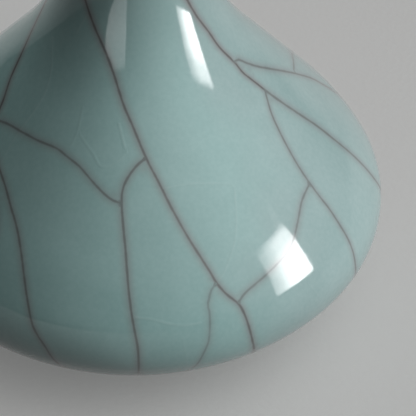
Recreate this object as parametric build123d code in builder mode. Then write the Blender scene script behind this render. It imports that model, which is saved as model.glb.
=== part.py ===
"""Double gourd vase: clay sections luted together with slip, coated inside and out with glaze.

The half section lies in the XZ plane and turns about +Z. The origin is the middle of the foot's resting face.
"""
from build123d import *
from math import acos, copysign, cos, degrees, radians, sin, tan
import os

# Layers of the wall
wall = 3.2
glaze = 0.8
slip = 0.4

# Lower bulb, measured on the outer skin
belly_radius = 60.0
belly_round = 14.4
haunch_round = 33.6
haunch_turn = 32.8
bowl_round = 55.0
bowl_turn = 51.0
shoulder_round = 60.0
shoulder_turn = 29.0
shoulder_lean = 42.4

# Neck and waist
neck_round = 65.2
waist_radius = 12.6
upper_waist_round = 20.0

# Upper bulb and mouth
upper_radius = 30.0
upper_bowl_round = 34.0
upper_shoulder_round = 25.2
throat_round = 7.8
collar_radius = 13.5
collar_height = 4.5

# Foot ring
foot_radius = 29.2
foot_width = 4.6
foot_drop = 1.7
foot_chamfer = 0.8
bare_foot_height = 1.5

# Luted joints rise towards the inside by this angle
bevel = 18.0

overrun = 5.0
quarter_turn = 90
half_turn = 180
lip_round = glaze + wall / 2
inner_face = glaze + wall
inner_skin = inner_face + glaze
half_slip = slip / 2
foot_inner = foot_radius - foot_width


def heading(angle):
    """Unit direction in the half section, measured up from straight out."""
    return Vector(cos(radians(angle)), sin(radians(angle)))


# Bend centres follow one another, because neighbouring bends share a centre line where they meet.
# The bowl ends level with the flat base.
haunch_shift = (belly_round - haunch_round) * heading(-haunch_turn)
bowl_shift = haunch_shift + (haunch_round - bowl_round) * heading(-bowl_turn)
belly_height = foot_drop + bowl_round - bowl_shift.Y
belly_centre = Vector(belly_radius - belly_round, belly_height)
haunch_centre = belly_centre + haunch_shift
bowl_centre = belly_centre + bowl_shift

# The rounded shoulder runs out straight and joins the hollow neck.
shoulder_centre = belly_centre + (belly_round - shoulder_round) * heading(shoulder_turn)
neck_from_shoulder = (shoulder_round + neck_round) * heading(shoulder_lean)
shoulder_drop = shoulder_centre.X + neck_from_shoulder.X - neck_round - waist_radius
shoulder_run = shoulder_drop / sin(radians(shoulder_lean))
neck_centre = shoulder_centre + neck_from_shoulder + shoulder_run * heading(shoulder_lean + quarter_turn)

# The upper bulb swells out of the waist and closes to the collar.
upper_waist_centre = neck_centre - (neck_round - upper_waist_round) * heading(0)
upper_span = upper_waist_round + upper_bowl_round
upper_lean = degrees(acos((waist_radius + upper_span - upper_radius) / upper_span))
upper_bowl_centre = upper_waist_centre - upper_span * heading(-upper_lean)
upper_shoulder_centre = upper_bowl_centre + (upper_bowl_round - upper_shoulder_round) * heading(0)
throat_span = upper_shoulder_round + throat_round
throat_lean = degrees(acos((collar_radius + throat_round - upper_shoulder_centre.X) / throat_span))
throat_centre = upper_shoulder_centre + throat_span * heading(throat_lean)
lip_centre = Vector(collar_radius - lip_round, throat_centre.Y + collar_height)
crown = lip_centre.Y + lip_round + overrun


def bend(centre, rounding, start, stop):
    """Arc from one outward direction to another, hollow where its rounding is negative."""
    first = start if rounding > 0 else start + half_turn
    return CenterArc(centre, abs(rounding), first, stop - start)


def hull(inset):
    """Half section from the axis out to the surface that lies this far inside the outer skin."""
    lip_turn = copysign(quarter_turn, lip_round - inset)
    with BuildSketch(Plane.XZ) as half:
        with BuildLine():
            bowl = bend(bowl_centre, bowl_round - inset, -quarter_turn, -bowl_turn)
            bend(haunch_centre, haunch_round - inset, -bowl_turn, -haunch_turn)
            bend(belly_centre, belly_round - inset, -haunch_turn, shoulder_turn)
            shoulder = bend(shoulder_centre, shoulder_round - inset, shoulder_turn, shoulder_lean)
            neck = bend(neck_centre, -neck_round - inset, shoulder_lean, 0)
            Line(shoulder @ 1, neck @ 0)
            bend(upper_waist_centre, -upper_waist_round - inset, 0, -upper_lean)
            bend(upper_bowl_centre, upper_bowl_round - inset, -upper_lean, 0)
            bend(upper_shoulder_centre, upper_shoulder_round - inset, 0, throat_lean)
            throat = bend(throat_centre, -throat_round - inset, throat_lean, 0)
            lip = bend(lip_centre, lip_round - inset, 0, lip_turn)
            Line(throat @ 1, lip @ 0)
            Polyline(lip @ 1, (lip_centre.X, crown), (0, crown), (0, foot_drop + inset), bowl @ 0)
        make_face()
    return half.sketch_local


def above(joint, lift):
    """Everything above a bevelled joint face, raised by lift."""
    radius, height = joint
    rise = tan(radians(bevel))
    reach = belly_radius + overrun
    inside = (0, height + lift + radius * rise)
    outside = (reach, height + lift + (radius - reach) * rise)
    with BuildSketch(Plane.XZ) as half_plane:
        with BuildLine():
            Polyline(inside, outside, (reach, crown), (0, crown), close=True)
        make_face()
    return half_plane.sketch_local


def strip(inside, outside, bottom, top):
    """Upright band of the half section between two radii."""
    with BuildSketch(Plane.XZ) as band:
        with Locations((inside, bottom)):
            Rectangle(outside - inside, top - bottom, align=Align.MIN)
    return band.sketch_local


outer_hull = hull(0)
clay_hull = hull(glaze)
foot_bed = hull(glaze - slip)
hollow = hull(inner_face)
inner_hull = hull(inner_skin)

with BuildSketch(Plane.XZ) as clay_wall:
    add(clay_hull)
    add(hollow, mode=Mode.SUBTRACT)
clay = clay_wall.sketch_local

# Joints of the clay sections: outer clay radius and height
belly_joint = (belly_radius - glaze, belly_centre.Y)
waist_joint = (waist_radius - glaze, neck_centre.Y)
upper_belly_joint = (upper_radius - glaze, upper_bowl_centre.Y)
collar_joint = (collar_radius - glaze, throat_centre.Y)

os.makedirs("parts", exist_ok=True)

# Foot ring, turned from clay and left bare where it stands
with BuildPart() as foot_ring:
    with BuildSketch(Plane.XZ) as foot_section:
        add(strip(foot_inner, foot_radius, 0, belly_height))
        add(foot_bed, mode=Mode.SUBTRACT)
        chamfer(foot_section.vertices().group_by(Axis.Y)[0], foot_chamfer)
    revolve(axis=Axis.Z)
foot_ring.part.label = "foot_ring"
export_step(foot_ring.part, "parts/foot_ring.step")

# Lower bowl, from the closed base up to the widest line
with BuildPart() as lower_bowl:
    with BuildSketch(Plane.XZ):
        add(clay)
        add(above(belly_joint, -half_slip), mode=Mode.SUBTRACT)
    revolve(axis=Axis.Z)
lower_bowl.part.label = "lower_bowl"
export_step(lower_bowl.part, "parts/lower_bowl.step")

# Lower shoulder, from the widest line up through the neck to the waist
with BuildPart() as lower_shoulder:
    with BuildSketch(Plane.XZ):
        add(clay)
        add(above(belly_joint, half_slip), mode=Mode.INTERSECT)
        add(above(waist_joint, -half_slip), mode=Mode.SUBTRACT)
    revolve(axis=Axis.Z)
lower_shoulder.part.label = "lower_shoulder"
export_step(lower_shoulder.part, "parts/lower_shoulder.step")

# Upper bowl, from the waist out to the upper bulb's widest line
with BuildPart() as upper_bowl:
    with BuildSketch(Plane.XZ):
        add(clay)
        add(above(waist_joint, half_slip), mode=Mode.INTERSECT)
        add(above(upper_belly_joint, -half_slip), mode=Mode.SUBTRACT)
    revolve(axis=Axis.Z)
upper_bowl.part.label = "upper_bowl"
export_step(upper_bowl.part, "parts/upper_bowl.step")

# Upper shoulder, from the widest line in to the throat
with BuildPart() as upper_shoulder:
    with BuildSketch(Plane.XZ):
        add(clay)
        add(above(upper_belly_joint, half_slip), mode=Mode.INTERSECT)
        add(above(collar_joint, -half_slip), mode=Mode.SUBTRACT)
    revolve(axis=Axis.Z)
upper_shoulder.part.label = "upper_shoulder"
export_step(upper_shoulder.part, "parts/upper_shoulder.step")

# Mouth collar with its rounded lip
with BuildPart() as mouth_collar:
    with BuildSketch(Plane.XZ):
        add(clay)
        add(above(collar_joint, half_slip), mode=Mode.INTERSECT)
    revolve(axis=Axis.Z)
mouth_collar.part.label = "mouth_collar"
export_step(mouth_collar.part, "parts/mouth_collar.step")

# Slip that lutes each pair of clay sections
joints = {
    "belly": belly_joint,
    "waist": waist_joint,
    "upper_belly": upper_belly_joint,
    "collar": collar_joint,
}
for place, joint in joints.items():
    with BuildPart() as seam:
        with BuildSketch(Plane.XZ):
            add(clay)
            add(above(joint, -half_slip), mode=Mode.INTERSECT)
            add(above(joint, half_slip), mode=Mode.SUBTRACT)
        revolve(axis=Axis.Z)
    seam.part.label = f"{place}_slip_seam"
    export_step(seam.part, f"parts/{place}_slip_seam.step")

# Slip that lutes the foot ring to the underside of the bowl
with BuildPart() as foot_slip_seam:
    with BuildSketch(Plane.XZ):
        add(foot_bed)
        add(clay_hull, mode=Mode.SUBTRACT)
        add(strip(foot_inner, foot_radius, 0, belly_height), mode=Mode.INTERSECT)
    revolve(axis=Axis.Z)
foot_slip_seam.part.label = "foot_slip_seam"
export_step(foot_slip_seam.part, "parts/foot_slip_seam.step")

# Outer glaze, from the crest of the lip down to the side of the foot ring
with BuildPart() as outer_glaze:
    with BuildSketch(Plane.XZ):
        add(outer_hull)
        add(strip(0, foot_radius + glaze, bare_foot_height, belly_height))
        add(clay_hull, mode=Mode.SUBTRACT)
        add(strip(0, foot_radius, 0, belly_height), mode=Mode.SUBTRACT)
    revolve(axis=Axis.Z)
outer_glaze.part.label = "outer_glaze"
export_step(outer_glaze.part, "parts/outer_glaze.step")

# Inner glaze, over the whole hollow up to the crest of the lip
with BuildPart() as inner_glaze:
    with BuildSketch(Plane.XZ):
        add(hollow)
        add(inner_hull, mode=Mode.SUBTRACT)
    revolve(axis=Axis.Z)
inner_glaze.part.label = "inner_glaze"
export_step(inner_glaze.part, "parts/inner_glaze.step")

# Base glaze, under the bowl and inside the foot ring
with BuildPart() as base_glaze:
    with BuildSketch(Plane.XZ):
        add(outer_hull)
        add(clay_hull, mode=Mode.SUBTRACT)
        add(strip(0, foot_inner, 0, belly_height), mode=Mode.INTERSECT)
    revolve(axis=Axis.Z)
base_glaze.part.label = "base_glaze"
export_step(base_glaze.part, "parts/base_glaze.step")
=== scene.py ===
"""Looks of the double gourd vase: crackled celadon glaze over stoneware, on a plain studio floor.

Lengths are in metres and angles in degrees, apart from the chart of the skin. The vase turns about +Z.
Azimuth 0 faces the camera, along -Y, and grows towards +X. The skin is charted by azimuth, in radians, and
climb, a height that keeps angles true.
"""
from math import acos, ceil, cos, degrees, pi, radians, sin

import bpy
import numpy as np
from mathutils import Matrix
from mathutils.geometry import delaunay_2d_cdt
from mathutils.kdtree import KDTree


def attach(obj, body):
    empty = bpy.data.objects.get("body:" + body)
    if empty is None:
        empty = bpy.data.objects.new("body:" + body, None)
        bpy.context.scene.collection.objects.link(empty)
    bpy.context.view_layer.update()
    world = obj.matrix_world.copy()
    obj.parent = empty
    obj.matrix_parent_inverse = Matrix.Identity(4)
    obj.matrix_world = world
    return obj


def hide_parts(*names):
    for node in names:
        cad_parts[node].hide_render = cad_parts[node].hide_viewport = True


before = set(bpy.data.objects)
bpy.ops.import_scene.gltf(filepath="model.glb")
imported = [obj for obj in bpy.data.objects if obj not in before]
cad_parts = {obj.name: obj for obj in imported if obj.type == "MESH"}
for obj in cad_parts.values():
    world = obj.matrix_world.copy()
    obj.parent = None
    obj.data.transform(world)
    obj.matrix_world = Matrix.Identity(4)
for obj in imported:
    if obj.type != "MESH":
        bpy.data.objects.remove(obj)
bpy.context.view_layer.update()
chance = np.random.default_rng(11)

# Layers of the wall
wall = 0.0032
glaze = 0.0008

# Lower bulb
belly_radius = 0.060
belly_round = 0.0144
haunch_round = 0.0336
haunch_turn = 32.8
bowl_round = 0.055
bowl_turn = 51.0
shoulder_round = 0.060
shoulder_turn = 29.0
shoulder_lean = 42.4

# Neck and waist
neck_round = 0.0652
waist_radius = 0.0126
upper_waist_round = 0.020

# Upper bulb and mouth
upper_radius = 0.030
upper_bowl_round = 0.034
upper_shoulder_round = 0.0252
throat_round = 0.0078
collar_radius = 0.0135
collar_height = 0.0045

# Foot, where the glaze ends in a rolled edge and pools in the corner under the bowl
foot_radius = 0.0292
foot_drop = 0.0017
bare_foot_height = 0.0015
glaze_roll = 0.0006
pool_round = 0.0016

# Camera, as the photograph was taken
photo_pixels = 416
sensor_mm = 36.0
lens_mm = 190.1
camera_rise = 39.0
camera_range = 0.540
aim_height = 0.0248
aim_pixel = (135.45, 200.8)
focal_pixels = lens_mm / sensor_mm * photo_pixels

# Steps along the outline. Ends that lie closer than the touch gap are one point
outline_step = 0.0002
under_step = 0.003
touch_gap = 0.00002

# Glaze mesh. The jitter is a share of a step, and the flat gap is a length in the flat ring
mesh_step = 0.0016
mesh_jitter = 0.1
edge_step = 0.0004
edge_zone = 0.006
ring_points = 180
weld_gap = 0.00045
all_triangles = 0
flat_gap = 1e-10
millimetres = 1000

# Cracks and hairlines in the glaze. The row clearance is a share of a row's own distance
crack_half_width = 0.0003
crack_side_rows = (0.0003, 0.0008)
hair_side_rows = (0.0004,)
row_clearance = 0.8
crack_depth = 0.000012
crack_step = 0.001
mark_step = crack_step / 5
curve_points = 16
crack_margin = 0.0022
line_clearance = 0.0013
gap_limit = 0.004

# How lines outside the photograph's frame grow. Short routes and hairs are counts of points
stride = 0.0015
sway_memory = 0.90
sway_spread = 0.022
catch_gap = 0.0042
end_gap = catch_gap / 2
end_points = 3
free_strides = 6
shown_strides = 24
most_strides = 220
most_tries = 12
carried_interval = 3
short_route = 6
split_spread = 0.7
split_interval = 2
split_spots = 1600
most_splits = 80
cell_gap = 0.0125
retry_gap = cell_gap / 2
hair_cell_gap = 0.0095
hair_spots = 900
hair_count = 26
short_hair = 4
grown_strengths = (0.7, 1.0)
grown_spreads = (0.9, 1.15)

# Colours
pale_celadon = (0.332, 0.511, 0.498)
deep_celadon = (0.265, 0.437, 0.425)
# Greyer celadons for the lit side, a painted sheen
pale_sheen_grey = (0.362, 0.484, 0.480)
deep_sheen_grey = (0.289, 0.414, 0.410)
# Darker pooled glaze, also used as painted shade on the neck and waist under the upper bulb
pooled_and_shaded_celadon = (0.222, 0.300, 0.295)
thin_celadon = (0.200, 0.150, 0.110)
iron_speck = (0.080, 0.055, 0.045)
hair_pale = (0.520, 0.620, 0.610)
seep_stain = (0.210, 0.088, 0.095)
crack_stain = (0.060, 0.052, 0.052)
floor_pale = (0.80, 0.80, 0.79)
floor_shade = (0.76, 0.76, 0.75)
# Far floor colour, a painted fall-off of light away from the vase
floor_far_painted_dim = (0.45, 0.45, 0.45)
floor_bounce = (0.10, 0.10, 0.10)
room_colour = (1.0, 1.0, 1.0)
card_pale = (1.0, 1.0, 1.0)
card_shade = (0.85, 0.85, 0.85)
blade_dark = (0.012, 0.012, 0.012)
blade_worn = (0.018, 0.018, 0.018)

# Clays, each with a pale, a dark and a grit colour
body_clay = ((0.40, 0.34, 0.29), (0.32, 0.27, 0.23), (0.12, 0.09, 0.07))
foot_clay = ((0.150, 0.085, 0.055), (0.080, 0.045, 0.032), (0.03, 0.02, 0.018))

# Cloudy patterns
cloud_noise = dict(size=0.045, detail=3.0)
mottle_noise = dict(size=0.009, detail=4.0, roughness=0.6)
bubble_noise = dict(size=0.0011, detail=3.0)
peel_noise = dict(size=0.007, detail=2.0)
stain_noise = dict(size=0.002, detail=2.0)
clay_noise = dict(size=0.012, detail=4.0, roughness=0.6)
grain_noise = dict(size=0.0006, detail=3.0)
tooth_noise = dict(size=0.0015, detail=3.0)
sheet_noise = dict(size=0.25, detail=2.0)
card_noise = dict(size=0.1, detail=2.0)
blade_noise = dict(size=0.02, detail=2.0)

# Ramps of the glaze: where each starts and stops, then its first and last level if these aren't 0 and 1
cloud_depth = (0.3, 0.7, 0, 0.5)
mottle_depth = (0.25, 0.75, 0, 0.35)
bubble_depth = (0.2, 0.8, -0.12, 0.27)
# The next two ramps turn the lit side greyer, a painted sheen
sheen_wander = (0.3, 0.7, -0.15, 0.15)
sheen_edge = (0.30, 0.75)
lip_wander = (0.3, 0.7, 0, 0.0006)
lip_thinning = (0.0018, 0.0002, 0, 0.75)
speck_choice = (0.72, 0.74)
speck_edge = (0.03, 0.014)
gloss = (0.2, 0.8, 0.05, 0.09)

# Ramps of the lines in the glaze, over millimetres from a line's middle where they aren't over a pattern
hair_tint = (0.3, 0.65, 0.03, 0.11)
hair_edge = (0.42, 0.04)
hair_ridge = (0.60, 0.05, 0, 0.45)
stain_wander = (0.3, 0.7, -0.04, 0.04)
crack_core = (0.42, 0.08, 0, 0.55)
crack_groove = (0.22, 0.04, 0, 0.10)

# Other values of the glaze. The stain's reach is in millimetres
# Azimuth of the lit side that turns greyer, a painted sheen
sheen_azimuth = 95.0
speck_gap = 0.011
speck_share = 0.55
speck_pit = 0.5
peel_relief = 0.7
bubble_relief = 0.03
seep_reach = 2.4
seep_share = 0.5
seep_most = 0.40
core_roughness = 0.03
glaze_relief = 0.00005
glaze_ior = 1.5

# Pools of darker glaze: height, reach, and the share of the darker colour. The waist's pool is also painted
# shade on the neck under the upper bulb
pools_and_waist_shade = ((0.0020, 0.0045, 0.65), (0.1020, 0.032, 0.55), (0.1826, 0.0055, 0.50))

# Ramps and values of the clays
clay_clouds = (0.3, 0.7)
clay_grain = (0.35, 0.7, 0, 0.4)
clay_roughness = (0.3, 0.7, 0.72, 0.9)
grit_gap = 0.0022
grit_edge = (0.16, 0.08, 0, 0.7)
grit_pit = 0.6
clay_relief = 0.0002

# Floor
floor_reach = 20.0
floor_height = -0.0001
# Distances over which the floor dims, a painted fall-off of light
floor_painted_falloff = (0.3, 1.8)
floor_glow = 0.18
sheet_clouds = (0.3, 0.7)
paper_roughness = (0.3, 0.7, 0.8, 0.9)
tooth_relief = 0.0001

# Key softbox. Each fade has a way across the box, where it starts and stops, and its first and last level
key_box = dict(azimuth=69.0, distance=0.735, low=0.107, high=0.435, width=0.248, level=20.7)
box_fades = (
    ("X", 0.0, 0.60, 0.27, 1.0),
    ("Y", 0.5, 0.75, 1.0, 0.58),
    ("Y", 0.84, 1.0, 1.0, 0.36),
    ("corner", 1.925, 1.970, 1.0, 0.0),
)

# Fill lamp, and the room with its glow
fill_azimuth = -150.0
fill_rise = 12.0
fill_range = 1.1
fill_height = 0.09
fill_size = 0.5
fill_level = 1.3
room_level = 0.02
glow_azimuth = 58.0
glow_rise = 46.0
glow_focus = 4.5
glow_level = 1.5

# Card that the neck mirrors, with the azimuth and rise of each corner, and the blades before it
card_aim = (-0.004, -0.018, 0.087)
card_range = 0.80
card_corners = ((-21.0, -6.0), (-12.8, -6.0), (-11.4, 26.0), (-22.6, 26.2), (-38.2, 16.5), (-38.2, 6.3))
card_level = 2.6
blade_near = 0.66
blade_far = 0.75
blade_count = 110
blade_spare = 7.0
blade_roughness = 0.9

# Places of the sockets for colours on Blender's Mix node
mix_factor = 0
mix_first = 6
mix_second = 7
mix_result = 2


def heading(angle):
    """Unit direction in the half section, measured up from straight out."""
    return np.array([cos(radians(angle)), sin(radians(angle))])


def toward(azimuth, rise):
    """Unit direction at an azimuth and a rise."""
    turn = radians(azimuth)
    lift = radians(rise)
    return np.array([sin(turn) * cos(lift), -cos(turn) * cos(lift), sin(lift)])


def unit(vector):
    """Direction of a vector."""
    return vector / np.linalg.norm(vector)


# Outline of the skin


def skin_bends(inset):
    """Bends of the surface this far inside the outer skin: centre, rounding, first and last direction."""
    haunch_shift = (belly_round - haunch_round) * heading(-haunch_turn)
    bowl_shift = haunch_shift + (haunch_round - bowl_round) * heading(-bowl_turn)
    belly = np.array([belly_radius - belly_round, foot_drop + bowl_round - bowl_shift[1]])
    bowl = belly + bowl_shift
    shoulder = belly + (belly_round - shoulder_round) * heading(shoulder_turn)
    to_neck = (shoulder_round + neck_round) * heading(shoulder_lean)
    run = (shoulder[0] + to_neck[0] - neck_round - waist_radius) / sin(radians(shoulder_lean))
    neck = shoulder + to_neck + run * heading(shoulder_lean + 90)
    upper_waist = neck - (neck_round - upper_waist_round) * heading(0)
    upper_span = upper_waist_round + upper_bowl_round
    upper_lean = degrees(acos((waist_radius + upper_span - upper_radius) / upper_span))
    upper_bowl = upper_waist - upper_span * heading(-upper_lean)
    upper_shoulder = upper_bowl + (upper_bowl_round - upper_shoulder_round) * heading(0)
    throat_span = upper_shoulder_round + throat_round
    throat_lean = degrees(acos((collar_radius + throat_round - upper_shoulder[0]) / throat_span))
    throat = upper_shoulder + throat_span * heading(throat_lean)
    lip_round = glaze + wall / 2
    lip = np.array([collar_radius - lip_round, throat[1] + collar_height])
    bends = [
        (bowl, bowl_round, -90, -bowl_turn),
        (belly + haunch_shift, haunch_round, -bowl_turn, -haunch_turn),
        (belly, belly_round, -haunch_turn, shoulder_turn),
        (shoulder, shoulder_round, shoulder_turn, shoulder_lean),
        (neck, -neck_round, shoulder_lean, 0),
        (upper_waist, -upper_waist_round, 0, -upper_lean),
        (upper_bowl, upper_bowl_round, -upper_lean, 0),
        (upper_shoulder, upper_shoulder_round, 0, throat_lean),
        (throat, -throat_round, throat_lean, 0),
        (lip, lip_round, 0, 90),
    ]
    return [(centre, rounding - inset, start, stop) for centre, rounding, start, stop in bends]


def outer_bends():
    """Bends of the glaze's outside, from its rolled edge on the foot ring up to the lip's crest."""
    bends = skin_bends(0)
    bowl, rounding, _, stop = bends[0]
    foot_wall = foot_radius + glaze
    roll = np.array([foot_wall - glaze_roll, bare_foot_height + glaze_roll])
    reach = rounding + pool_round
    pool_out = foot_wall + pool_round - bowl[0]
    pool_turn = -degrees(acos(pool_out / reach))
    pool = bowl + reach * heading(pool_turn)
    foot_end = [
        (roll, glaze_roll, -90, 0),
        (pool, -pool_round, 0, pool_turn),
        (bowl, rounding, pool_turn, stop),
    ]
    return foot_end + bends[1:]


def under_bends():
    """Bends of the glaze's underside, from the foot ring up to the lip's crest."""
    bends = skin_bends(glaze)
    bowl, rounding, _, stop = bends[0]
    turn = -degrees(acos((foot_radius - bowl[0]) / rounding))
    return [(bowl, rounding, turn, stop)] + bends[1:]


def trace(bends, step):
    """Points and outward turns along a chain of bends, with straight runs between them."""
    points = []
    turns = []
    for centre, rounding, start, stop in bends:
        first = centre + rounding * heading(start)
        run = np.linalg.norm(first - points[-1]) if points else 0
        straight = np.linspace(0, 1, ceil(run / step), endpoint=False)[1:]
        points += [points[-1] + share * (first - points[-1]) for share in straight]
        turns += [start] * len(straight)
        count = max(2, ceil(abs(rounding) * radians(abs(stop - start)) / step))
        skip = 1 if points and run < touch_gap else 0
        for turn in np.linspace(start, stop, count + 1)[skip:]:
            points.append(centre + rounding * heading(turn))
            turns.append(turn)
    return np.array(points), np.array(turns)


outline, outline_turn = trace(outer_bends(), outline_step)
outline_radius = outline[:, 0]
outline_height = outline[:, 1]
lip_top = outline_height[-1]
pieces_of_way = np.hypot(*np.diff(outline, axis=0).T)
mean_radius = (outline_radius[1:] + outline_radius[:-1]) / 2
outline_way = np.concatenate([[0], np.cumsum(pieces_of_way)])
outline_climb = np.concatenate([[0], np.cumsum(pieces_of_way / mean_radius)])
top_climb = outline_climb[-1]
edge_climb = crack_margin / outline_radius[0]


def radius_at(climb):
    """Radius of the skin at a climb."""
    return np.interp(climb, outline_climb, outline_radius)


def on_skin(azimuth, climb):
    """Points of the skin at these azimuths and climbs."""
    radius = radius_at(climb)
    height = np.interp(climb, outline_climb, outline_height)
    return np.stack([radius * np.sin(azimuth), -radius * np.cos(azimuth), height], axis=-1)


def skin_normals(azimuth, climb):
    """Outward unit directions of the skin."""
    turn = np.radians(np.interp(climb, outline_climb, outline_turn))
    return np.stack([np.cos(turn) * np.sin(azimuth), -np.cos(turn) * np.cos(azimuth), np.sin(turn)], axis=-1)


# Camera


def pixel_rays(pixels):
    """Directions through pixels of the photograph, in the camera's own axes."""
    middle = photo_pixels / 2
    depth = np.full(len(pixels), -focal_pixels)
    rays = np.stack([pixels[:, 0] - middle, middle - pixels[:, 1], depth], axis=1)
    return rays / np.linalg.norm(rays, axis=1, keepdims=True)


def camera_turn():
    """Rotation that puts the aimed point on its pixel and keeps the vase's axis upright there."""
    pixel_ray = pixel_rays(np.array([aim_pixel]))[0]
    world_ray = -toward(0, camera_rise)
    pixel_side = unit(np.cross(pixel_ray, [0, 1, 0]))
    world_side = unit(np.cross(world_ray, [0, 0, 1]))
    pixel_frame = np.stack([pixel_ray, pixel_side, np.cross(pixel_ray, pixel_side)], axis=1)
    world_frame = np.stack([world_ray, world_side, np.cross(world_ray, world_side)], axis=1)
    return world_frame @ pixel_frame.T


camera_matrix = camera_turn()
camera_place = np.array([0, 0, aim_height]) + camera_range * toward(0, camera_rise)


def cast(pixels):
    """Azimuth and climb where the rays through these pixels meet the skin, or pass closest to it."""
    rays = pixel_rays(np.array(pixels, dtype=float)) @ camera_matrix.T
    depth = np.arange(camera_range - 2 * belly_radius, camera_range + 2 * belly_radius, outline_step)
    points = camera_place + depth[None, :, None] * rays[:, None, :]
    skin_radius = np.interp(points[..., 2], outline_height, outline_radius)
    outside = np.hypot(points[..., 0], points[..., 1]) - skin_radius
    hit = np.where((outside < 0).any(axis=1), (outside < 0).argmax(axis=1), outside.argmin(axis=1))
    place = points[np.arange(len(points)), hit]
    climb = np.interp(place[:, 2], outline_height, outline_climb)
    return np.stack([np.arctan2(place[:, 0], -place[:, 1]), climb], axis=1)


def seen(azimuth, climb):
    """Whether the photograph shows this spot of the skin."""
    point = on_skin(azimuth, climb)
    view = camera_place - point
    local = camera_matrix.T @ (point - camera_place)
    reach = focal_pixels * np.abs(local[:2]) / -local[2]
    return skin_normals(azimuth, climb) @ view > 0 and reach.max() < photo_pixels / 2


def make_camera():
    """The photograph's camera."""
    data = bpy.data.cameras.new("camera")
    data.sensor_width = sensor_mm
    data.lens = lens_mm
    camera = bpy.data.objects.new("camera", data)
    bpy.context.scene.collection.objects.link(camera)
    matrix = Matrix(camera_matrix.tolist()).to_4x4()
    matrix.translation = camera_place.tolist()
    camera.matrix_world = matrix
    bpy.context.scene.camera = camera


# Cracks. Each photographed one is a strength, a spread and a route of pixels

photo_cracks = {
    "left_neck": (1.1, 1.1, [
        (44, 5), (33, 28), (22.5, 51.7), (12, 75.6), (4, 98), (-4, 119)]),
    "long_front": (1.05, 1.0, [
        (85.6, 0), (92.9, 21.2), (104.8, 50.4), (114.1, 74.3), (123.4, 103.5), (132.7, 126), (145.9, 157.2),
        (159.2, 183.1), (171.1, 207), (185.7, 233.2), (208, 268.7), (216.6, 283), (226.6, 294.2),
        (237.8, 302.9), (243.8, 312.8), (249.1, 327.4), (252.4, 340.7), (253.1, 352.6)]),
    "left_sweep": (0.82, 1.0, [
        (-4, 119), (9.3, 124), (23.9, 132.7), (37.1, 140), (55.7, 147.3), (66.3, 155.2), (79.6, 166.5),
        (92.9, 181.7), (103.5, 193), (112.8, 200.3), (121.6, 203)]),
    "front_drop": (0.9, 1.0, [
        (145.9, 157.2), (136.6, 165.2), (127.4, 177.8), (122.7, 189.7), (121.6, 203), (123.4, 227.9),
        (125.4, 247.8), (127.1, 271.7), (128.7, 290.3), (131.3, 311.5), (134, 327.4), (137.3, 344.6),
        (138.6, 360.6), (138.6, 373.5)]),
    "left_drop": (0.9, 1.0, [
        (-3, 160), (5.3, 184.4), (11.6, 208), (17.2, 227.9), (21.2, 250.5), (23.9, 271.7), (26.5, 292.9),
        (29.8, 311.5), (33.2, 326.1), (38.5, 336.7), (46.4, 348.6), (57, 362.6)]),
    "right_sweep": (1.1, 1.0, [
        (187, 0), (196.3, 15.9), (208, 31), (219.9, 47.8), (233.9, 61.7), (242.5, 72.3), (253.1, 80.9),
        (265, 90.2)]),
    "right_rim": (0.75, 1.3, [
        (265, 90.2), (279.6, 100.8), (298.2, 113.4), (316.8, 126), (334, 139.3), (351.3, 153.9),
        (365.9, 168.5), (376.5, 181.7), (381, 191)]),
    "right_twig": (0.75, 1.1, [
        (233.9, 61.7), (238.5, 59.7), (246.5, 63), (257.1, 66.3), (271.7, 69), (286.3, 71.6), (295.6, 73.6),
        (311.5, 78.3), (326, 86.2)]),
    "right_spur": (0.6, 1.0, [
        (295.6, 73.6), (293.6, 69), (292.2, 55.7), (292.6, 52)]),
    "right_drop": (0.75, 1.0, [
        (265, 90.2), (266.4, 98.2), (271.7, 114.1), (278.3, 130), (287.6, 147.3), (298.2, 165.8),
        (309.5, 183.1), (319.4, 196.3), (328, 207.5), (338, 222.6), (347.3, 238.5), (352.6, 251.8),
        (355.3, 265), (355.6, 271.7)]),
    "glint_crossing": (0.7, 1.0, [
        (309.5, 183.1), (304.8, 192.4), (300.9, 203), (296.9, 223.9), (293.6, 238.5), (287.6, 250.5),
        (278.3, 262.4), (265, 275.7), (253.1, 285.6), (243.8, 294.2), (237.8, 302.9)]),
    "low_branch": (0.55, 1.0, [
        (216.6, 283), (211.3, 289.6), (209.1, 298.2), (207.5, 305), (209.3, 311.5), (209.6, 324.7),
        (208.4, 340.7), (203, 353.9), (193.7, 367.2)]),
}

# Pale hairlines, each a strength and a route of pixels
photo_hairs = {
    "middle": (1.2, [
        (163, 188), (180, 185), (196, 183), (214, 183), (228, 183.5), (234, 186.5), (235, 198),
        (236.5, 212), (236.5, 226), (234.5, 241), (230, 258), (224, 272), (219, 280)]),
    "low": (1.1, [
        (132.7, 316.8), (149.9, 318.8), (172.5, 324.1), (185.7, 324.7), (200.3, 322.1)]),
    "left": (0.75, [
        (83, 107), (77.5, 133), (70, 147)]),
    "left_fork": (0.85, [
        (80, 135), (93, 153), (101, 166), (115, 163), (127, 152)]),
    "front": (0.9, [
        (119, 123), (125, 147)]),
    "edge": (1.3, [
        (0, 165), (17, 135), (33, 113), (46, 92), (52, 68), (53, 38)]),
    "neck": (0.8, [
        (77, 33), (87, 15)]),
    "low_front": (0.45, [
        (183, 338), (185.5, 352), (187.5, 367)]),
    "low_right": (0.5, [
        (307.5, 282.3), (320.8, 299.5)]),
}


def way_along(route):
    """Real distance along a charted route, from its start."""
    return np.concatenate([[0], np.cumsum(np.linalg.norm(np.diff(on_skin(*route.T), axis=0), axis=1))])


def even(route, step):
    """The route again with points about this far apart."""
    way = way_along(route)
    marks = np.linspace(0, way[-1], max(2, round(way[-1] / step) + 1))
    return np.stack([np.interp(marks, way, route[:, 0]), np.interp(marks, way, route[:, 1])], axis=1)


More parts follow.
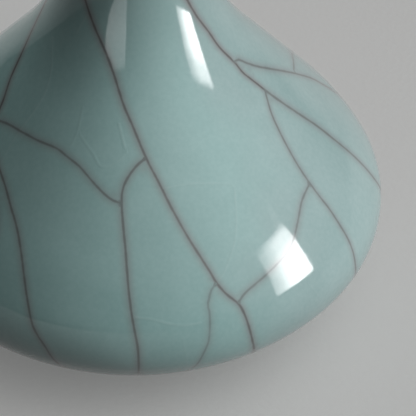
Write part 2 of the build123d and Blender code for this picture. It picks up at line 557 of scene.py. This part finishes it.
def smooth(route):
    """Rounds a charted route through its own points, and spaces it evenly."""
    ends = [2 * route[0] - route[1], *route, 2 * route[-1] - route[-2]]
    share = np.linspace(0, 1, curve_points, endpoint=False)[:, None]
    rounded = []
    for before, here, there, after in zip(ends, ends[1:], ends[2:], ends[3:]):
        pull = 2 * before - 5 * here + 4 * there - after
        bend = 3 * here - before - 3 * there + after
        rounded.append(here + (share * (there - before) + share**2 * pull + share**3 * bend) / 2)
    return even(np.concatenate([*rounded, route[-1:]]), crack_step)


class Network:
    """Charted lines, with a search tree over their points."""

    def __init__(self):
        self.routes = []
        self.strengths = []
        self.spreads = []
        self.refresh()

    def add(self, route, strength, spread=1.0):
        """Adds a line."""
        self.routes.append(route)
        self.strengths.append(strength)
        self.spreads.append(spread)
        self.refresh()

    def refresh(self):
        """Makes the search tree again."""
        fine = [even(route, mark_step) for route in self.routes]
        self.marks = np.concatenate(fine) if fine else np.zeros((0, 2))
        self.mark_strengths = np.repeat(self.strengths, [len(route) for route in fine])
        self.mark_spreads = np.repeat(self.spreads, [len(route) for route in fine])
        self.tree = KDTree(len(self.marks))
        for index, place in enumerate(on_skin(*self.marks.T) if fine else []):
            self.tree.insert(place, index)
        self.tree.balance()

    def nearest(self, azimuth, climb):
        """Nearest mark's index and its distance."""
        _, index, gap = self.tree.find(on_skin(azimuth, climb))
        return index, gap


def free_of(network, point, own):
    """Whether a route's end meets no other route."""
    place = on_skin(*point)
    others = [route for index, route in enumerate(network.routes) if index != own]
    return all(np.linalg.norm(on_skin(*route.T) - place, axis=1).min() > end_gap for route in others)


def grow(network, start, aim, free=0, shown=0):
    """A crack from start that wanders to another or to the glaze's edge, and whether it got there.

    Its first free strides meet nothing, and its first shown strides may lie where the photograph shows
    the skin.
    """
    route = [np.array(start)]
    sway = 0.0
    for count in range(most_strides):
        sway = sway_memory * sway + chance.normal(0, sway_spread)
        aim += sway
        step = stride / radius_at(route[-1][1])
        spot = route[-1] + step * np.array([cos(aim), sin(aim)])
        if not edge_climb < spot[1] < top_climb - edge_climb:
            return np.array(route), True
        if count >= free:
            index, gap = network.nearest(*spot)
            mark = network.marks[index].copy()
            if gap < catch_gap and not seen(*mark):
                mark[0] += 2 * pi * round((spot[0] - mark[0]) / (2 * pi))
                route += [spot, mark]
                return np.array(route), True
            if count >= shown and seen(*spot):
                break
        route.append(spot)
    return np.array(route), False


def thinned(route, every):
    """The route's points at this interval, with its last point kept."""
    return route[sorted({*range(0, len(route) - 1, every), len(route) - 1})]


def carried_on(network, end, aim):
    """What carries a photographed crack on from its end, or none where it ends at the glaze's edge."""
    for _ in range(most_tries):
        route, met = grow(network, end, aim, free_strides, shown_strides)
        if met:
            break
    if len(route) < 2:
        return None
    return smooth(thinned(route, carried_interval if len(route) > short_route else 1))


def splitting(network, spot):
    """A crack through this spot that meets others at both ends, or none."""
    for _ in range(most_tries):
        aim = pi / 2 + chance.normal(0, split_spread)
        ahead, met_ahead = grow(network, spot, aim)
        behind, met_behind = grow(network, spot, aim + pi)
        if met_ahead and met_behind and min(len(ahead), len(behind)) > 1:
            return smooth(thinned(np.concatenate([behind[:0:-1], ahead]), split_interval))
    return None


def widest_cell(network, spots):
    """The spot that lies farthest from any line, and how far."""
    gaps = [network.nearest(*spot)[1] for spot in spots]
    best = int(np.argmax(gaps))
    return spots[best], gaps[best]


def skin_spots(count):
    """Spots spread over the skin by area, outside what the photograph shows."""
    weight = np.cumsum(outline_radius * np.gradient(outline_way))
    climbs = np.interp(chance.uniform(0, weight[-1], count), weight, outline_climb)
    spots = np.stack([chance.uniform(-pi, pi, count), climbs], axis=1)
    return np.array([spot for spot in spots if not seen(*spot)])


def away_from(spots, spot, gap):
    """The spots that lie farther than this from one of them."""
    return spots[np.linalg.norm(on_skin(*spots.T) - on_skin(*spot), axis=1) > gap]


def all_cracks():
    """The photographed cracks, what carries them on, and cracks that split the rest into like cells."""
    network = Network()
    for strength, spread, pixels in photo_cracks.values():
        network.add(smooth(cast(pixels)), strength, spread)
    for own, route in enumerate(list(network.routes)):
        for end, inner in ((route[0], route[end_points]), (route[-1], route[-1 - end_points])):
            if free_of(network, end, own):
                aim = np.arctan2(*(end - inner)[::-1])
                more = carried_on(network, end, aim)
                if more is not None:
                    network.add(more, network.strengths[own], network.spreads[own])
    spots = skin_spots(split_spots)
    for _ in range(most_splits):
        spot, gap = widest_cell(network, spots)
        if gap < cell_gap:
            break
        route = splitting(network, spot)
        if route is None:
            spots = away_from(spots, spot, retry_gap)
        else:
            network.add(route, chance.uniform(*grown_strengths), chance.uniform(*grown_spreads))
    return network


def all_hairs(network):
    """The photographed pale hairlines, and some like them in the other cells."""
    hairs = Network()
    both = Network()
    for route, strength in zip(network.routes, network.strengths):
        both.add(route, strength)
    for strength, pixels in photo_hairs.values():
        hairs.add(smooth(cast(pixels)), strength)
        both.add(hairs.routes[-1], strength)
    spots = skin_spots(hair_spots)
    for _ in range(hair_count):
        spot, gap = widest_cell(both, spots)
        if gap < hair_cell_gap:
            break
        route, _ = grow(both, spot, chance.uniform(0, 2 * pi))
        if len(route) > short_hair:
            strength = chance.uniform(*grown_strengths)
            hairs.add(smooth(thinned(route, split_interval)), strength)
            both.add(hairs.routes[-1], strength)
        spots = away_from(spots, spot, hair_cell_gap)
    return hairs


# Glaze coat as a mesh that follows its cracks

ring = 2 * pi * np.arange(ring_points) / ring_points - pi


def around(radius, height):
    """A ring of points about the vase's axis."""
    return np.stack([radius * np.sin(ring), -radius * np.cos(ring), np.full(ring_points, height)], axis=1)


def annulus(spots):
    """Flat picture of the skin as a ring, foot outside and lip inside, with angles kept true."""
    reach = np.exp(-spots[:, 1])
    return np.stack([reach * np.cos(spots[:, 0]), reach * np.sin(spots[:, 0])], axis=1)


def from_annulus(points):
    """Azimuth and climb of points in the flat ring."""
    return np.stack([np.arctan2(points[:, 1], points[:, 0]), -np.log(np.hypot(*points.T))], axis=1)


def middle_lines(networks):
    """Points along the middles of all lines, joined where lines meet, and the edges between them."""
    spots = np.zeros((0, 2))
    edges = []
    for route in [route for network in networks for route in network.routes]:
        ids = []
        known = on_skin(*spots.T)
        fresh = []
        for spot in even(route, crack_step):
            gaps = np.linalg.norm(known - on_skin(*spot), axis=1)
            if len(gaps) and gaps.min() < weld_gap:
                ids.append(int(gaps.argmin()))
            else:
                ids.append(len(spots) + len(fresh))
                fresh.append(spot)
        spots = np.concatenate([spots, np.array(fresh).reshape(-1, 2)])
        edges += [pair for pair in zip(ids, ids[1:]) if pair[0] != pair[1]]
    return spots, edges


def side_rows(network, rows):
    """Points in rows beside each line, left out near the glaze's edges and where a line runs closer."""
    spots = []
    for route in network.routes:
        middle = even(route, crack_step)
        along = np.gradient(middle, axis=0)
        across = np.stack([-along[:, 1], along[:, 0]], axis=1) / np.linalg.norm(along, axis=1, keepdims=True)
        for row in rows:
            for side in (row, -row):
                beside = middle + (side / radius_at(middle[:, 1]))[:, None] * across
                spots += [spot for spot in beside if network.nearest(*spot)[1] > row_clearance * row]
    return np.array([spot for spot in spots if edge_climb < spot[1] < top_climb - edge_climb])


def field_spots(networks):
    """Points spread over the skin between the lines, closer together at the foot and the lip."""
    spots = []
    way = edge_step
    while way < outline_way[-1] - edge_step / 2:
        climb = np.interp(way, outline_way, outline_climb)
        at_edge = min(way, outline_way[-1] - way) < edge_zone
        count = ring_points if at_edge else round(2 * pi * radius_at(climb) / mesh_step)
        azimuths = 2 * pi * (np.arange(count) + chance.uniform()) / count - pi
        if not at_edge:
            azimuths += chance.normal(0, mesh_jitter, count) * 2 * pi / count
        spots += [(azimuth, climb) for azimuth in azimuths]
        way += edge_step if at_edge else mesh_step
    clear = [all(network.nearest(*spot)[1] > line_clearance for network in networks) for spot in spots]
    return np.array(spots)[clear]


def cut_skin(cracks, hairs):
    """The skin cut along its lines: charted points, faces, and the points around the foot and the lip."""
    foot = np.stack([ring, np.zeros(ring_points)], axis=1)
    lip = np.stack([ring, np.full(ring_points, top_climb)], axis=1)
    lines, line_edges = middle_lines([cracks, hairs])
    beside = np.concatenate([side_rows(cracks, crack_side_rows), side_rows(hairs, hair_side_rows)])
    spots = np.concatenate([foot, lip, lines, beside, field_spots([cracks, hairs])])
    loop = [(index, (index + 1) % ring_points) for index in range(ring_points)]
    edges = loop + [(start + ring_points, stop + ring_points) for start, stop in loop]
    edges += [(start + 2 * ring_points, stop + 2 * ring_points) for start, stop in line_edges]
    flat = [tuple(point) for point in annulus(spots)]
    points, _, faces, origins, _, _ = delaunay_2d_cdt(flat, edges, [], all_triangles, flat_gap)
    chart = from_annulus(np.array([tuple(point) for point in points]))
    place = {source: index for index, sources in enumerate(origins) for source in sources}
    foot_ids = [place[index] for index in range(ring_points)]
    lip_ids = [place[ring_points + index] for index in range(ring_points)]
    chart[foot_ids, 1] = 0
    chart[lip_ids, 1] = top_climb
    hole = set(lip_ids)
    return chart, [face for face in faces if not hole.issuperset(face)], foot_ids, lip_ids


def under_rings():
    """Rings of points and outward directions under the glaze, from the lip down to the bare foot."""
    points, turns = trace(under_bends(), under_step)
    points = np.concatenate([[[foot_radius, bare_foot_height]], points])[::-1]
    turns = np.radians(np.concatenate([[0], turns])[::-1])
    return [(around(*point), around(cos(turn), sin(turn))) for point, turn in zip(points, turns)]


def band(upper, lower):
    """Faces between two rings, seen from inside the coat."""
    return list(zip(upper, upper[1:] + upper[:1], lower[1:] + lower[:1], lower))


def line_gaps(network, chart):
    """Distance of each spot from the nearest line, against that line's spread, and its strength."""
    found = [network.nearest(*spot) for spot in chart]
    nearest = [index for index, _ in found]
    gaps = np.array([min(gap, gap_limit) for _, gap in found]) / network.mark_spreads[nearest]
    return gaps, network.mark_strengths[nearest]


def glaze_mesh(cracks, hairs):
    """Closed coat of glaze: the skin outside, cut along its lines, and the clay's surface underneath."""
    chart, faces, foot_ids, lip_ids = cut_skin(cracks, hairs)
    crack_gap, crack_strength = line_gaps(cracks, chart)
    hair_gap, hair_strength = line_gaps(hairs, chart)
    groove = crack_depth * np.clip(1 - crack_gap / crack_half_width, 0, 1)
    normals = [skin_normals(*chart.T)]
    points = [on_skin(*chart.T) - groove[:, None] * normals[0]]
    count = len(chart)
    upper_ids = lip_ids
    for ring_places, directions in under_rings():
        points.append(ring_places)
        normals.append(-directions)
        ids = list(range(count, count + ring_points))
        faces += band(upper_ids, ids)
        upper_ids = ids
        count += ring_points
    faces += band(upper_ids, foot_ids)

    mesh = bpy.data.meshes.new("outer_glaze_coat")
    mesh.from_pydata(np.concatenate(points).tolist(), [], faces)
    mesh.shade_smooth()
    mesh.normals_split_custom_set_from_vertices(np.concatenate(normals).tolist())
    far = millimetres * gap_limit
    fields = {
        "crack_gap": (millimetres * crack_gap, far),
        "crack_strength": (crack_strength, 0),
        "hair_gap": (millimetres * hair_gap, far),
        "hair_strength": (hair_strength, 0),
    }
    for name, (values, underneath) in fields.items():
        layer = mesh.attributes.new(name, "FLOAT", "POINT")
        layer.data.foreach_set("value", np.concatenate([values, np.full(count - len(chart), underneath)]))
    return mesh


# Materials


def opaque(colour):
    """A plain colour with its alpha, or a link as it is."""
    return (*colour, 1) if isinstance(colour, tuple) else colour


class Nodes:
    """The nodes of a material, a lamp or a world, with short calls to add more."""

    def __init__(self, owner):
        owner.use_nodes = True
        self.owner = owner
        self.tree = owner.node_tree

    def add(self, kind, inputs=(), **settings):
        """A node with these settings, and a value or a link for each named input."""
        node = self.tree.nodes.new(kind)
        for name, value in settings.items():
            setattr(node, name, value)
        for name, value in dict(inputs).items():
            self.join(node.inputs[name], value)
        return node

    def join(self, socket, value):
        """Gives a socket a link or a value."""
        if isinstance(value, bpy.types.NodeSocket):
            self.tree.links.new(value, socket)
        else:
            socket.default_value = value

    def math(self, operation, *values):
        """Result of a sum with numbers or links."""
        return self.add("ShaderNodeMath", enumerate(values), operation=operation).outputs[0]

    def ramp(self, value, low, high, first=0.0, last=1.0):
        """Smooth step of a value from one level to another."""
        inputs = {"Value": value, "From Min": low, "From Max": high, "To Min": first, "To Max": last}
        return self.add("ShaderNodeMapRange", inputs, interpolation_type="SMOOTHSTEP").outputs["Result"]


class Finish(Nodes):
    """The nodes of a new material, placed by the object's own axes."""

    def __init__(self, name):
        super().__init__(bpy.data.materials.new(name))
        self.shader = self.tree.nodes["Principled BSDF"]
        self.place = self.add("ShaderNodeTexCoord").outputs["Object"]

    def attribute(self, name):
        """Value that the mesh holds under this name."""
        return self.add("ShaderNodeAttribute", attribute_name=name).outputs["Fac"]

    def noise(self, size, detail, roughness=0.5):
        """Cloudy pattern whose patches have about this size."""
        inputs = {"Vector": self.place, "Scale": 1 / size, "Detail": detail, "Roughness": roughness}
        return self.add("ShaderNodeTexNoise", inputs).outputs["Fac"]

    def scatter(self, gap):
        """Distances from points about this far apart, and a colour for each point."""
        return self.add("ShaderNodeTexVoronoi", {"Vector": self.place, "Scale": 1 / gap}).outputs

    def mix(self, factor, first, second):
        """Colour between two colours."""
        inputs = {mix_factor: factor, mix_first: opaque(first), mix_second: opaque(second)}
        return self.add("ShaderNodeMix", inputs, data_type="RGBA").outputs[mix_result]

    def height(self):
        """Height above the floor."""
        return self.add("ShaderNodeSeparateXYZ", {0: self.place}).outputs["Z"]

    def distance(self):
        """Distance from the middle of the vase's foot."""
        return self.add("ShaderNodeVectorMath", {0: self.place}, operation="LENGTH").outputs["Value"]

    def side(self, azimuth):
        """1 on the side of the vase at this azimuth, -1 on the side across."""
        level = {0: self.place, 1: (1, 1, 0)}
        flat = self.add("ShaderNodeVectorMath", level, operation="MULTIPLY").outputs["Vector"]
        out = self.add("ShaderNodeVectorMath", {0: flat}, operation="NORMALIZE").outputs["Vector"]
        inputs = {0: out, 1: toward(azimuth, 0)}
        return self.add("ShaderNodeVectorMath", inputs, operation="DOT_PRODUCT").outputs["Value"]

    def bump(self, value, distance):
        """Relief of this height."""
        normal = self.add("ShaderNodeBump", {"Height": value, "Distance": distance}).outputs["Normal"]
        self.join(self.shader.inputs["Normal"], normal)

    def finish(self, colour, roughness, **constants):
        """The material, with a colour, a roughness and constants for other sockets of its shader."""
        self.join(self.shader.inputs["Base Color"], opaque(colour))
        self.join(self.shader.inputs["Roughness"], roughness)
        for name, value in constants.items():
            self.shader.inputs[name.replace("_", " ")].default_value = value
        return self.owner


def clouded(nodes, mottle, bubbles):
    """Celadon that turns from pale to deep in clouds, and greyer on its lit side as a painted sheen."""
    clouds = nodes.noise(**cloud_noise)
    depth = nodes.math("ADD", nodes.ramp(clouds, *cloud_depth), nodes.ramp(mottle, *mottle_depth))
    depth = nodes.math("ADD", depth, nodes.ramp(bubbles, *bubble_depth))
    # Painted sheen: the glaze turns greyer towards the lit side
    sheen = nodes.math("ADD", nodes.side(sheen_azimuth), nodes.ramp(clouds, *sheen_wander))
    sheen = nodes.ramp(sheen, *sheen_edge)
    pale = nodes.mix(sheen, pale_celadon, pale_sheen_grey)
    deep = nodes.mix(sheen, deep_celadon, deep_sheen_grey)
    return nodes.mix(depth, pale, deep)


def pooled_and_shaded(nodes, colour, mottle):
    """Glaze colour: darker in pools and in painted shade at the waist, brown where it runs thin at the lip.
    """
    height = nodes.height()
    # The waist's pool also paints shade on the neck under the upper bulb
    for level, reach, share in pools_and_waist_shade:
        away = nodes.math("ABSOLUTE", nodes.math("SUBTRACT", height, level))
        colour = nodes.mix(nodes.ramp(away, reach, 0, 0, share), colour, pooled_and_shaded_celadon)
    drop = nodes.math("SUBTRACT", lip_top, height)
    drop = nodes.math("ADD", drop, nodes.ramp(mottle, *lip_wander))
    return nodes.mix(nodes.ramp(drop, *lip_thinning), colour, thin_celadon)


def iron_spots(nodes):
    """Small round spots at some points of a scatter."""
    points = nodes.scatter(speck_gap)
    chosen = nodes.ramp(points["Color"], *speck_choice)
    return nodes.math("MULTIPLY", nodes.ramp(points["Distance"], *speck_edge), chosen)


def with_hairs(nodes, colour, relief, mottle):
    """Colour and relief with the pale hairlines, which are low ridges with a faint tint."""
    gap = nodes.attribute("hair_gap")
    strength = nodes.attribute("hair_strength")
    tint = nodes.math("MULTIPLY", strength, nodes.ramp(mottle, *hair_tint))
    tint = nodes.math("MULTIPLY", tint, nodes.ramp(gap, *hair_edge))
    ridge = nodes.math("MULTIPLY", nodes.ramp(gap, *hair_ridge), strength)
    return nodes.mix(tint, colour, hair_pale), nodes.math("ADD", relief, ridge)


def with_cracks(nodes, colour, relief, roughness):
    """Colour, relief and roughness with the dark cracks, whose stain seeps into the glaze beside them."""
    wander = nodes.ramp(nodes.noise(**stain_noise), *stain_wander)
    gap = nodes.math("ADD", nodes.attribute("crack_gap"), wander)
    strength = nodes.attribute("crack_strength")
    near = nodes.math("SUBTRACT", 1, nodes.math("DIVIDE", gap, seep_reach))
    near = nodes.math("MAXIMUM", near, 0)
    seep = nodes.math("MULTIPLY", nodes.math("MULTIPLY", near, near), seep_share)
    seep = nodes.math("MULTIPLY", nodes.math("MINIMUM", seep, seep_most), strength)
    core = nodes.math("MULTIPLY", nodes.ramp(gap, *crack_core), strength)
    colour = nodes.mix(core, nodes.mix(seep, colour, seep_stain), crack_stain)
    relief = nodes.math("SUBTRACT", relief, nodes.ramp(gap, *crack_groove))
    return colour, relief, nodes.math("MULTIPLY_ADD", core, core_roughness, roughness)


def celadon(name, cracked):
    """Glossy grey-green glaze with soft clouds, fine bubbles and iron specks."""
    nodes = Finish(name)
    mottle = nodes.noise(**mottle_noise)
    bubbles = nodes.noise(**bubble_noise)
    spots = iron_spots(nodes)
    colour = pooled_and_shaded(nodes, clouded(nodes, mottle, bubbles), mottle)
    colour = nodes.mix(nodes.math("MULTIPLY", spots, speck_share), colour, iron_speck)
    relief = nodes.math("MULTIPLY", nodes.noise(**peel_noise), peel_relief)
    relief = nodes.math("MULTIPLY_ADD", bubbles, bubble_relief, relief)
    relief = nodes.math("SUBTRACT", relief, nodes.math("MULTIPLY", spots, speck_pit))
    roughness = nodes.ramp(mottle, *gloss)
    if cracked:
        colour, relief = with_hairs(nodes, colour, relief, mottle)
        colour, relief, roughness = with_cracks(nodes, colour, relief, roughness)
    nodes.bump(relief, glaze_relief)
    return nodes.finish(colour, roughness, IOR=glaze_ior)


def stoneware(name, pale, dark, grit):
    """Matt fired clay with a fine grain and dark grit."""
    nodes = Finish(name)
    grain = nodes.noise(**grain_noise)
    colour = nodes.mix(nodes.ramp(nodes.noise(**clay_noise), *clay_clouds), pale, dark)
    colour = nodes.mix(nodes.ramp(grain, *clay_grain), colour, dark)
    spots = nodes.ramp(nodes.scatter(grit_gap)["Distance"], *grit_edge)
    colour = nodes.mix(spots, colour, grit)
    nodes.bump(nodes.math("SUBTRACT", grain, nodes.math("MULTIPLY", spots, grit_pit)), clay_relief)
    return nodes.finish(colour, nodes.ramp(grain, *clay_roughness))


def floor_paper():
    """Plain paper with a faint tooth, which shows pale and throws little light back at the vase."""
    nodes = Finish("floor_paper")
    tooth = nodes.noise(**tooth_noise)
    path = nodes.add("ShaderNodeLightPath").outputs
    shown = nodes.math("MAXIMUM", path["Is Camera Ray"], path["Is Glossy Ray"])
    shown = nodes.math("MAXIMUM", shown, path["Is Transmission Ray"])
    colour = nodes.mix(nodes.ramp(nodes.noise(**sheet_noise), *sheet_clouds), floor_pale, floor_shade)
    # Painted fall-off of light: the floor darkens away from the vase
    colour = nodes.mix(nodes.ramp(nodes.distance(), *floor_painted_falloff), colour, floor_far_painted_dim)
    colour = nodes.mix(shown, floor_bounce, colour)
    nodes.bump(tooth, tooth_relief)
    nodes.join(nodes.shader.inputs["Emission Color"], colour)
    nodes.join(nodes.shader.inputs["Emission Strength"], nodes.math("MULTIPLY", shown, floor_glow))
    return nodes.finish(colour, nodes.ramp(tooth, *paper_roughness), Specular_IOR_Level=0.0)


# Stage


def area_lamp(name, place, turn, size, power):
    """Rectangular lamp that the camera doesn't see."""
    data = bpy.data.lights.new(name, "AREA")
    data.shape = "RECTANGLE"
    data.size, data.size_y = size
    data.energy = power
    lamp = bpy.data.objects.new(name, data)
    bpy.context.scene.collection.objects.link(lamp)
    lamp.location = place
    lamp.rotation_euler = turn
    lamp.visible_camera = False
    return lamp


def softbox(name, azimuth, distance, low, high, width, level):
    """Upright lamp that faces the vase's axis, dimmer towards its near side, its soft top and one corner."""
    place = distance * toward(azimuth, 0) + np.array([0, 0, (low + high) / 2])
    power = pi * width * (high - low)
    lamp = area_lamp(name, place, (pi / 2, 0, radians(azimuth)), (width, high - low), power)
    nodes = Nodes(lamp.data)
    spot = nodes.add("ShaderNodeNewGeometry").outputs["Parametric"]
    across = nodes.add("ShaderNodeSeparateXYZ", {0: spot}).outputs
    ways = {"X": across["X"], "Y": across["Y"], "corner": nodes.math("ADD", across["X"], across["Y"])}
    for way, *fade in box_fades:
        level = nodes.math("MULTIPLY", nodes.ramp(ways[way], *fade), level)
    nodes.join(nodes.tree.nodes["Emission"].inputs["Strength"], level)
    return lamp


def back_fill():
    """Soft lamp behind the vase that lights its shaded side and isn't mirrored."""
    place = np.array([0, 0, fill_height]) + fill_range * toward(fill_azimuth, fill_rise)
    turn = (radians(90 - fill_rise), 0, radians(fill_azimuth))
    lamp = area_lamp("back_fill", place, turn, (fill_size, fill_size), pi * fill_range**2 * fill_level)
    lamp.visible_glossy = False
    return lamp


def leave_out(lamp, thing):
    """Keeps a lamp's light off one thing."""
    group = bpy.data.collections.new(lamp.name + "_leaves_out")
    group.objects.link(thing)
    group.collection_objects[0].light_linking.link_state = "EXCLUDE"
    lamp.light_linking.receiver_collection = group


def flat_mesh(name, points, faces, material):
    """A thing of flat faces in one material."""
    data = bpy.data.meshes.new(name)
    data.from_pydata(points, [], faces)
    data.materials.append(material)
    thing = bpy.data.objects.new(name, data)
    bpy.context.scene.collection.objects.link(thing)
    return thing


def reflection_only(thing):
    """Makes a thing show in reflections and nowhere else."""
    thing.visible_camera = False
    thing.visible_diffuse = False
    thing.visible_shadow = False


def neck_card():
    """Dim card behind black blades that all point at the neck, so that only the neck mirrors it."""
    aim = np.array(card_aim)
    corners = [aim + card_range * toward(*corner) for corner in card_corners]
    glow = Finish("card_glow")
    glow.join(glow.shader.inputs["Emission Color"], glow.mix(glow.noise(**card_noise), card_pale, card_shade))
    glow.shader.inputs["Emission Strength"].default_value = card_level
    glow.owner.cycles.emission_sampling = "NONE"
    card = flat_mesh("neck_card", corners, [range(len(corners))], glow.finish(blade_dark, blade_roughness))
    reflection_only(card)

    azimuths, rises = zip(*card_corners)
    left = min(azimuths) - blade_spare
    right = max(azimuths) + blade_spare
    ends = ((blade_near, left), (blade_near, right), (blade_far, right), (blade_far, left))
    lifts = np.linspace(min(rises), max(rises), blade_count)
    points = [aim + reach * toward(azimuth, lift) for lift in lifts for reach, azimuth in ends]
    faces = [range(first, first + len(ends)) for first in range(0, len(points), len(ends))]
    black = Finish("blade_black")
    colour = black.mix(black.noise(**blade_noise), blade_dark, blade_worn)
    reflection_only(flat_mesh("card_blades", points, faces, black.finish(colour, blade_roughness)))


def make_floor():
    """Wide flat floor, a hair below the foot."""
    sides = ((-1, -1), (1, -1), (1, 1), (-1, 1))
    corners = [(floor_reach * across, floor_reach * along, floor_height) for across, along in sides]
    floor = flat_mesh("floor", corners, [range(len(corners))], floor_paper())
    return floor


def make_sky():
    """Dim studio room with one soft glow."""
    world = bpy.data.worlds.new("studio")
    bpy.context.scene.world = world
    nodes = Nodes(world)
    view = nodes.add("ShaderNodeTexCoord").outputs["Generated"]
    inputs = {0: view, 1: toward(glow_azimuth, glow_rise)}
    facing = nodes.add("ShaderNodeVectorMath", inputs, operation="DOT_PRODUCT").outputs["Value"]
    glow = nodes.math("POWER", nodes.math("MAXIMUM", facing, 0), glow_focus)
    background = nodes.tree.nodes["Background"].inputs
    nodes.join(background["Strength"], nodes.math("MULTIPLY_ADD", glow, glow_level, room_level))
    nodes.join(background["Color"], opaque(room_colour))


cracks = all_cracks()
hairs = all_hairs(cracks)
coat = bpy.data.objects.new("crackled_glaze", glaze_mesh(cracks, hairs))
bpy.context.scene.collection.objects.link(coat)
coat.data.materials.append(celadon("crackled_celadon", True))
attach(coat, "root")
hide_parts("outer_glaze")

plain_celadon = celadon("plain_celadon", False)
grey_body = stoneware("grey_body", *body_clay)
finishes = {
    "base_glaze": plain_celadon,
    "inner_glaze": plain_celadon,
    "foot_ring": stoneware("iron_foot", *foot_clay),
}
for name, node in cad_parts.items():
    node.data.materials.clear()
    node.data.materials.append(finishes.get(name, grey_body))

floor = make_floor()
leave_out(softbox("key_softbox", **key_box), floor)
leave_out(back_fill(), floor)
neck_card()
make_sky()
make_camera()
bpy.context.scene.view_settings.view_transform = "Standard"
